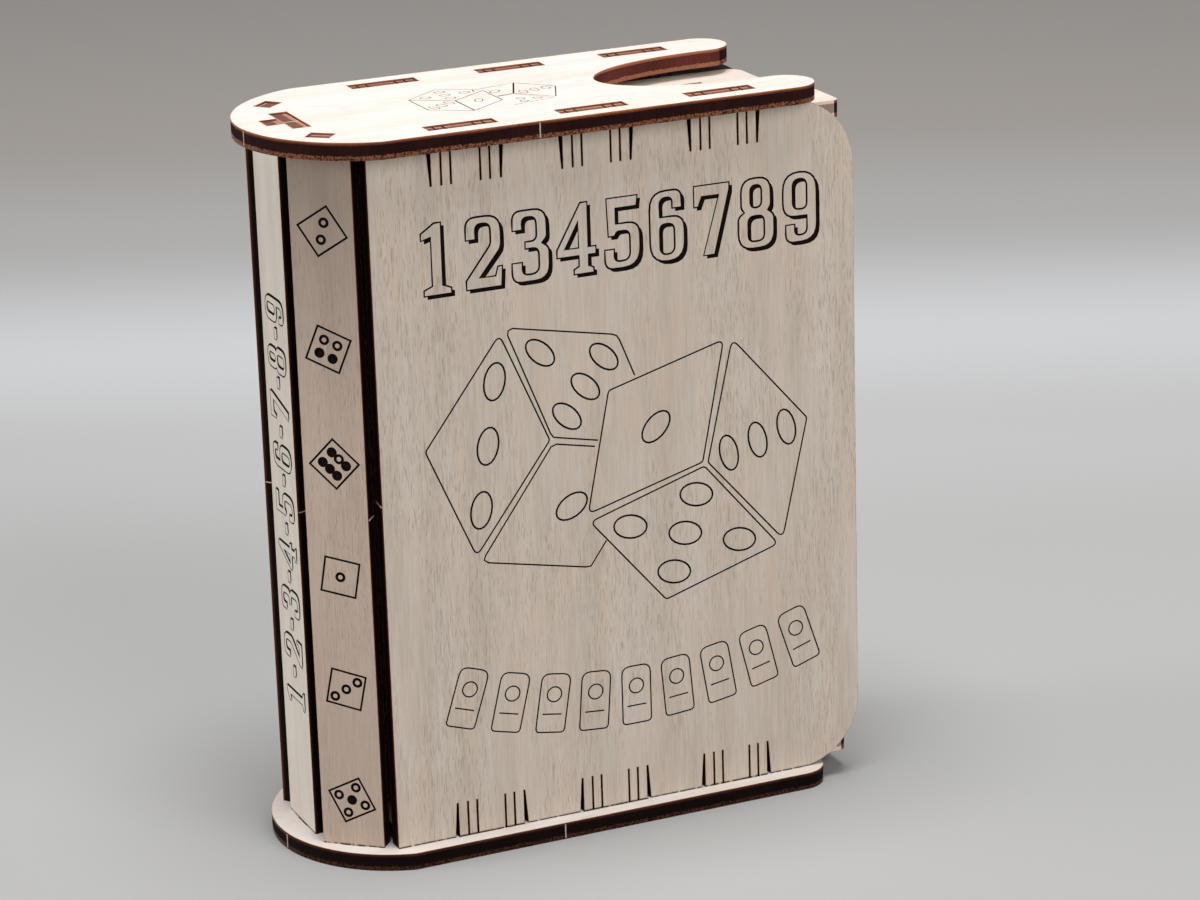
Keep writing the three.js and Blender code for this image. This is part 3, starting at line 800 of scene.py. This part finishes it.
def stripStrokes(squares, middle):
    strokes = []
    side, radius = stripArt["side"], stripArt["pipRadius"]
    half = side / 2
    for height, degrees, value, filled in squares:
        centre = Vector((middle, height))
        turn = Matrix.Rotation(math.radians(degrees), 2)
        corners = [(-half, -half), (half, -half), (half, half), (-half, half)]
        strokes.append(turnedStroke(corners, centre, turn, stripArt["line"]))
        across, up = stripArt["spreads"][value]
        for index, (u, v) in enumerate(pipPlaces[value]):
            place = centre + turn @ Vector((u * across * side, v * up * side))
            strokes.append({"points": ellipse(place, flatU, flatV, radius, 14), "width": stripArt["pipLine"]})
            if index in filled:
                core = ellipse(place, flatU, flatV, radius * stripArt["core"], 10)
                strokes.append({"points": core, "width": radius})
    return strokes


spineArt = {"height": 8.8, "low": 24.0, "high": 101.5, "line": 0.30, "depth": 0.15, "shadow": (0.40, -0.42),
            "shadowDepth": 0.12, "stretch": 0.88, "halfDash": 1.1}
tileArt = {"height": 7.2, "left": -0.3, "low": -0.36, "depth": 0.18}


def spineRow():
    # Reads upwards: u runs up the strip and v across it, with the figures' feet towards the front cover
    art = spineArt
    pitch = (art["high"] - art["low"]) / 9
    width = 6 * art["height"] / 10 * art["stretch"]
    contours = []
    for number in range(1, 10):
        left = art["low"] + (number - 1) * pitch
        contours += glyph(number, left, -art["height"] / 2, art["height"], art["stretch"])
        if number < 9:
            dash = left + width + (pitch - width) / 2 - art["halfDash"]
            contours += glyph("-", dash, -art["height"] / 2, art["height"])
    return contours


print("helpers ready")


# Sheets: every laser-cut piece, with its kind of veneer and the way its broad faces look

axes = {"x": Vector((1, 0, 0)), "y": Vector((0, 1, 0)), "z": Vector((0, 0, 1))}
rimWidth = 0.42 * mm

# How worn the cut faces are inside a box in millimetres. The notch's walls are lighter and redder: less
# charred, and with painted light for the glow the bright drawer below throws onto them.
notchWalls = [(((12, -12.4, -1), (60, 12.4, 130)), 0.5)]
tabEnds = [(((-60, -30, 126.3), (60, 30, 130)), 0.64)]
drawerEnd = 49.7
sawnSides = [(((-40, -16, -1), (drawerEnd, -15.5, 130)), 1.0)]
# Covers and strips take the darker cut faces: charred, with painted shade
burntAndShadedUpright = {"body": "case", "wear": tabEnds, "edge": burntAndShadedEdges}
sheets = {
    "bottom_plate": {"kind": "plate", "normal": "z", "body": "case", "wear": notchWalls, "edge": burntAndShadedEdges},
    "top_plate": {"kind": "plate", "normal": "z", "body": "case", "wear": notchWalls},
    "front_cover": {"kind": "cover", "normal": "y", **burntAndShadedUpright},
    "back_cover": {"kind": "cover", "normal": "y", **burntAndShadedUpright},
    "spine_strip_middle": {"kind": "strip", "normal": "x", **burntAndShadedUpright},
    "spine_strip_near": {"kind": "sideStrip", "normal": "x", **burntAndShadedUpright},
    "spine_strip_far": {"kind": "sideStrip", "normal": "x", **burntAndShadedUpright},
    "spine_stiffener": {"kind": "strip", "normal": "x", "body": "case", "wear": tabEnds},
    "drawer_bottom_wall": {"kind": "drawer", "normal": "z", "body": "drawer", "wear": sawnSides},
    "drawer_top_wall": {"kind": "drawer", "normal": "z", "body": "drawer", "wear": sawnSides,
                        "charFrom": drawerEnd},
    "drawer_spine_wall": {"kind": "drawerEnd", "normal": "x", "body": "drawer"},
    "drawer_fore_edge_wall": {"kind": "drawerEnd", "normal": "x", "body": "drawer"},
    "drawer_floor": {"kind": "drawer", "normal": "y", "body": "drawer"},
}
for number in range(1, 10):
    body = f"tile_{number}"
    sheets[body + "_face"] = {"kind": "tile", "normal": "x", "body": body, "number": number}
    for level in ("lower", "upper"):
        sheets[f"{body}_{level}_ear"] = {"kind": "tile", "normal": "z", "body": body}

# Pale broken nubs where small bridges held a piece in its sheet: place in millimetres, way out of the
# edge, way across it
bridges = {
    "spine_strip_far": [((-46.0, 9.14, 62.1), (-0.76, -0.65, 0), (0.65, -0.76, 0))],
    "spine_strip_middle": [((-45.6, -6.3, 61.6), (0, -1, 0), (1, 0, 0.1))],
    "spine_strip_near": [((-37.65, -16.3, 62.0), (0.76, -0.65, 0), (0.65, 0.76, 0))],
    "front_cover": [((-36.55, -17.5, 64.5), (-1, 0, 0), (0, 1, 0.1))],
    "top_plate": [((-7.2, -22.0, 125.5), (0, -1, 0), (0, 0, 1)),
                  ((-51.32, -2.4, 125.5), (-0.99, -0.11, 0), (0, 0, 1))],
    "bottom_plate": [((-7.0, -22.0, 1.5), (0, -1, 0), (0, 0, 1)),
                     ((-51.19, -3.4, 1.5), (-0.99, -0.15, 0), (0, 0, 1))],
    "spine_stiffener": [((-42.4, -0.3, 126.7), (0, 0, 1), (1, 0, 0))],
}
engraved = ("top_plate", "front_cover", "spine_strip_near", "spine_strip_middle", "spine_strip_far")
nub = {"along": 0.22, "proud": 0.08, "inside": 0.25, "across": 2.5, "ragged": 0.05, "cuts": 3}


def broadNormal(piece, axis):
    # The side strips are turned, so the real normal is that of the largest face near the axis.
    # It looks up from a flat sheet, and away from the case's middle from an upright one.
    faces = [face for face in piece.data.polygons if abs(face.normal.dot(axes[axis])) > 0.5]
    normal = max(faces, key=lambda face: face.area).normal.copy()
    outward = axes["z"] if axis == "z" else piece.data.vertices[0].co
    return normal if normal.dot(outward) > 0 else -normal


def splitAt(piece, reach):
    # A cut across the sheet, so that its end can have a finish of its own
    selectFaces(piece, lambda face: True)
    bpy.ops.mesh.bisect(plane_co=(reach * mm, 0, 0), plane_no=(1, 0, 0))
    endEdit()


def facePlace(piece, outward, alongU, alongV):
    # Points (u, v) in millimetres on a sheet's outer face: u along alongU from its low side, v along alongV
    outer = max(vertex.co.dot(outward) for vertex in piece.data.vertices)
    low = min(vertex.co.dot(alongU) for vertex in piece.data.vertices)
    high = max(vertex.co.dot(alongU) for vertex in piece.data.vertices)

    def place(u, v):
        return outward * outer + alongU * (low + u * mm) + alongV * (v * mm)

    return place, (high - low) / mm


def engrave(piece, node):
    front, left, up = Vector((0, -1, 0)), Vector((-1, 0, 0)), Vector((0, 0, 1))
    if node == "front_cover":
        art = coverArt
        figures = figureRow()
        lines = diceStrokes() + tileArcStrokes() + outlinesOf(figures, art["line"])
        shade = shadowCutter("figureShade", figures, onFront, front, art["shadowDepth"] * mm, art["shadow"])
        carve(piece, shade)
        carve(piece, strokeCutter("coverLines", lines, onFront, front, art["depth"]))
    if node == "top_plate":
        carve(piece, strokeCutter("topLines", topStrokes(), onTop, up, topArt["depth"]), crossing=True)
    if node == "spine_strip_middle":
        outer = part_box(node)[0].x

        def onSpine(u, v):
            return Vector((outer, v * mm, u * mm))

        art = spineArt
        figures = spineRow()
        shade = shadowCutter("spineShade", figures, onSpine, left, art["shadowDepth"] * mm, art["shadow"])
        carve(piece, shade)
        lines = outlinesOf(figures, art["line"])
        carve(piece, strokeCutter("spineLines", lines, onSpine, left, art["depth"]), crossing=True)
    if node in ("spine_strip_near", "spine_strip_far"):
        side = node.split("_")[-1]
        outward = broadNormal(piece, "x")
        along = outward.cross(up) if side == "near" else up.cross(outward)
        along = along if along.x > 0 else -along
        place, width = facePlace(piece, outward, along, up)
        lines = stripStrokes(stripArt[side], width / 2)
        carve(piece, strokeCutter(side + "Squares", lines, place, outward, stripArt["depth"]), crossing=True)
    if "number" in sheets[node]:
        low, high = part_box(node)

        def onTile(u, v):
            return Vector((high.x, low.y + ((high.y - low.y) / 2) - v * mm, (low.z + high.z) / 2 + u * mm))

        size = tileArt["height"]
        figure = glyph(sheets[node]["number"], tileArt["left"] * size, tileArt["low"] * size, size)
        carve(piece, slabOf("tileFigure", figure, onTile, axes["x"], tileArt["depth"] * mm), crossing=True)


def addBridges(piece, node):
    for turn, (place, out, across) in enumerate(bridges.get(node, [])):
        out, across = Vector(out).normalized(), Vector(across).normalized()
        along = out.cross(across)
        bpy.ops.mesh.primitive_cube_add(size=1, location=(0, 0, 0))
        block = bpy.context.object
        sizes = (nub["along"] * mm, (nub["proud"] + nub["inside"]) * mm, nub["across"] * mm)
        middle = Vector(place) * mm + out * ((nub["proud"] - nub["inside"]) / 2 * mm)
        sides = [[value * size for value in axis] for axis, size in zip((along, out, across), sizes)]
        block.matrix_world = fromAxes(*sides, middle)
        applyPlace()
        editAll()
        bpy.ops.mesh.subdivide(number_cuts=nub["cuts"])
        bpy.ops.transform.vertex_random(offset=nub["ragged"] * mm, seed=turn)
        bpy.ops.mesh.quads_convert_to_tris()
        endEdit()
        block.data.materials.append(splinter)
        carve(piece, block, "UNION")


for node, plan in sheets.items():
    piece = copyOfNode(node, node.replace("_", "-") + "-sheet")
    normal = broadNormal(piece, plan["normal"])
    if "charFrom" in plan:
        splitAt(piece, plan["charFrom"])
    addBridges(piece, node)
    insetBroadFaces(piece, normal, rimWidth, refill=node not in engraved)
    engrave(piece, node)
    edge = plan.get("edge", edgeMaterials)[plan["normal"]]
    finishSheet(piece, normal, veneers[plan["kind"]], edge, plan.get("wear", ()))
    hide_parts(node)
    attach(piece, plan["body"])
print("sheets made:", len(sheets))


# Dowel

dowelLook = {"light": (212, 178, 134), "dark": (186, 148, 102), "pore": (140, 104, 66), "pores": 0.6,
             "sides": 48, "chamfer": 0.25}


def dowelMaterial():
    material, tree, shader, place = startMaterial("dowelWood")
    grain = placeGroup(tree, grainGroup, {
        "Vector": mapped(tree, place, turn=grainTurns["z"]), "Light": srgb(*dowelLook["light"]),
        "Dark": srgb(*dowelLook["dark"]), "Pore": srgb(*dowelLook["pore"]), "Pore Amount": dowelLook["pores"],
    })
    paint(tree, shader, grain["Color"])
    finishOn(shader, 0.5)
    bumpOn(tree, shader, grain["Height"], 0.05 * mm)
    return material


low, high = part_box("tile_rod")
bpy.ops.mesh.primitive_cylinder_add(
    vertices=dowelLook["sides"], radius=(high.x - low.x) / 2, depth=high.z - low.z, location=(low + high) / 2)
dowel = newest("tile-dowel")
selectFaces(dowel, lambda face: abs(face.normal.z) > 0.9)
bpy.ops.mesh.inset(thickness=dowelLook["chamfer"] * mm)
endEdit()
dowel.data.materials.append(dowelMaterial())
shadeSmooth(dowel)
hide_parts("tile_rod")
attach(dowel, "drawer")
print("dowel made")


# Dice

dieLook = {"bevel": 0.7, "segments": 3, "smooth": 25, "round": 0.68, "pip": 1.5, "pipDepth": 0.55,
           "pipSpread": 0.26, "ball": {"segments": 64, "ring_count": 32},
           "tip": {"segments": 20, "ring_count": 12}}
dieFacings = {1: (0, -1, 0), 6: (0, 1, 0), 2: (1, 0, 0), 5: (-1, 0, 0), 3: (0, 0, 1), 4: (0, 0, -1)}


def dieMaterials():
    body, tree, shader, place = startMaterial("diePlastic")
    scaled = mapped(tree, place)
    mottle = noiseOf(tree, scaled, (0.12, 0.12, 0.12), 2.0, 0.5)
    colour = blendOf(tree, mottle, srgb(240, 236, 226), srgb(232, 227, 214))
    paint(tree, shader, colour)
    dullness = stepOf(tree, noiseOf(tree, scaled, (1.2, 1.2, 1.2), 3.0, 0.6), -1.4, 3.4)
    tree.links.new(dullness, shader.inputs["Roughness"])
    shader.inputs["Coat Weight"].default_value = 0.3
    pip, tree, shader, place = startMaterial("pipPaint")
    uneven = noiseOf(tree, mapped(tree, place), (1.5, 1.5, 1.5), 2.0, 0.5)
    paint(tree, shader, blendOf(tree, uneven, srgb(20, 20, 22), srgb(40, 40, 42)))
    finishOn(shader, 0.4)
    return body, pip


dieBody, diePip = dieMaterials()
for index in (1, 2):
    low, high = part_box(f"die_{index}")
    middle, edge = (low + high) / 2, high.x - low.x
    bpy.ops.mesh.primitive_cube_add(size=edge, location=middle)
    die = newest(f"die-{index}")
    die.data.materials.append(dieBody)
    editAll()
    bpy.ops.mesh.bevel(offset=dieLook["bevel"] * mm, segments=dieLook["segments"], affect="EDGES")
    endEdit()
    bpy.ops.mesh.primitive_uv_sphere_add(**dieLook["ball"], radius=edge * dieLook["round"], location=middle)
    ball = newest("ball")
    ball.data.materials.append(dieBody)
    carve(die, ball, "INTERSECT")
    for value, outward in dieFacings.items():
        outward = Vector(outward)
        alongU = Vector((outward.y, outward.z, outward.x))
        alongV = outward.cross(alongU)
        for u, v in pipPlaces[value]:
            lift = edge / 2 + (dieLook["pip"] - dieLook["pipDepth"]) * mm
            place = middle + outward * lift + (alongU * u + alongV * v) * (dieLook["pipSpread"] * edge)
            bpy.ops.mesh.primitive_uv_sphere_add(**dieLook["tip"], radius=dieLook["pip"] * mm, location=place)
            tip = newest("pip")
            tip.data.materials.append(diePip)
            carve(die, tip)
    shadeSmooth(die, dieLook["smooth"])
    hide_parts(f"die_{index}")
    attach(die, f"die_{index}")
print("dice made")


# Camera, lights and floor

camera = {"lens": 118.55, "azimuth": -23.45, "elevation": 18.11, "roll": -1.77,
          "place": (-249.42, -600.83, 275.62)}
cameraData = bpy.data.cameras.new("camera")
cameraData.lens = camera["lens"]
cameraData.sensor_width = 36.0
cameraObject = linked("camera", cameraData)
aim = Euler((math.radians(90 - camera["elevation"]), 0, math.radians(camera["azimuth"]))).to_matrix()
turn = aim @ Matrix.Rotation(math.radians(camera["roll"]), 3, "Z")
cameraObject.matrix_world = Matrix.Translation(Vector(camera["place"]) * mm) @ turn.to_4x4()
bpy.context.scene.camera = cameraObject

lamps = {
    "overhead": {"place": (-0.04, -0.08, 1.22), "size": 0.7, "power": 16.4},
    "left": {"place": (-2.1, 0.75, 0.45), "size": 1.0, "power": 28.0},
    "front": {"place": (0.35, -1.15, 0.80), "size": 1.0, "power": 10.2},
}
target = Vector((0, 0, 60 * mm))
for name, lamp in lamps.items():
    light = bpy.data.lights.new(name, "AREA")
    light.shape = "DISK"
    light.size = lamp["size"]
    light.energy = lamp["power"]
    lightObject = linked(name, light)
    lightObject.location = lamp["place"]
    lightObject.rotation_euler = (target - lightObject.location).to_track_quat("-Z", "Y").to_euler()

world = bpy.data.worlds.new("studio")
world.use_nodes = True
world.node_tree.nodes["Background"].inputs["Color"].default_value = srgb(236, 236, 238)
world.node_tree.nodes["Background"].inputs["Strength"].default_value = 0.15
bpy.context.scene.world = world

# Flat paper with painted light and shade along the level line of sight: its colour rises from the front to
# one lighter band and then falls off further back, standing in for paper that rolls off into shade behind the
# object
paper = {"size": 6.0, "place": (0, 1.5, 0), "away": (0.398, 0.917, 0.0), "from": 1.5755}
bpy.ops.mesh.primitive_plane_add(size=paper["size"], location=paper["place"])
floor = bpy.context.object
floor.name = "floor"
material, tree, shader, place = startMaterial("floorPaper")
away = addNode(tree, "ShaderNodeVectorMath", {0: place, 1: paper["away"]}, operation="DOT_PRODUCT")
ramp = addNode(tree, "ShaderNodeValToRGB", {0: plus(tree, away.outputs["Value"], paper["from"])})
ramp.color_ramp.interpolation = "EASE"
# Painted light and shade on the paper, from front to back
stops = [(0.0, (159, 158, 157)), (0.32, (166, 166, 165)), (0.40, (174, 174, 174)), (0.48, (187, 188, 190)),
         (0.59, (162, 161, 160)), (0.70, (155, 150, 146))]
for index, (position, tone) in enumerate(stops):
    element = ramp.color_ramp.elements[index] if index < 2 else ramp.color_ramp.elements.new(position)
    element.position = position
    element.color = srgb(*tone)
paint(tree, shader, ramp.outputs[0])
finishOn(shader, 0.9, 0.1)
floor.data.materials.append(material)
print("stage set")

bpy.context.scene.view_settings.view_transform = "Standard"
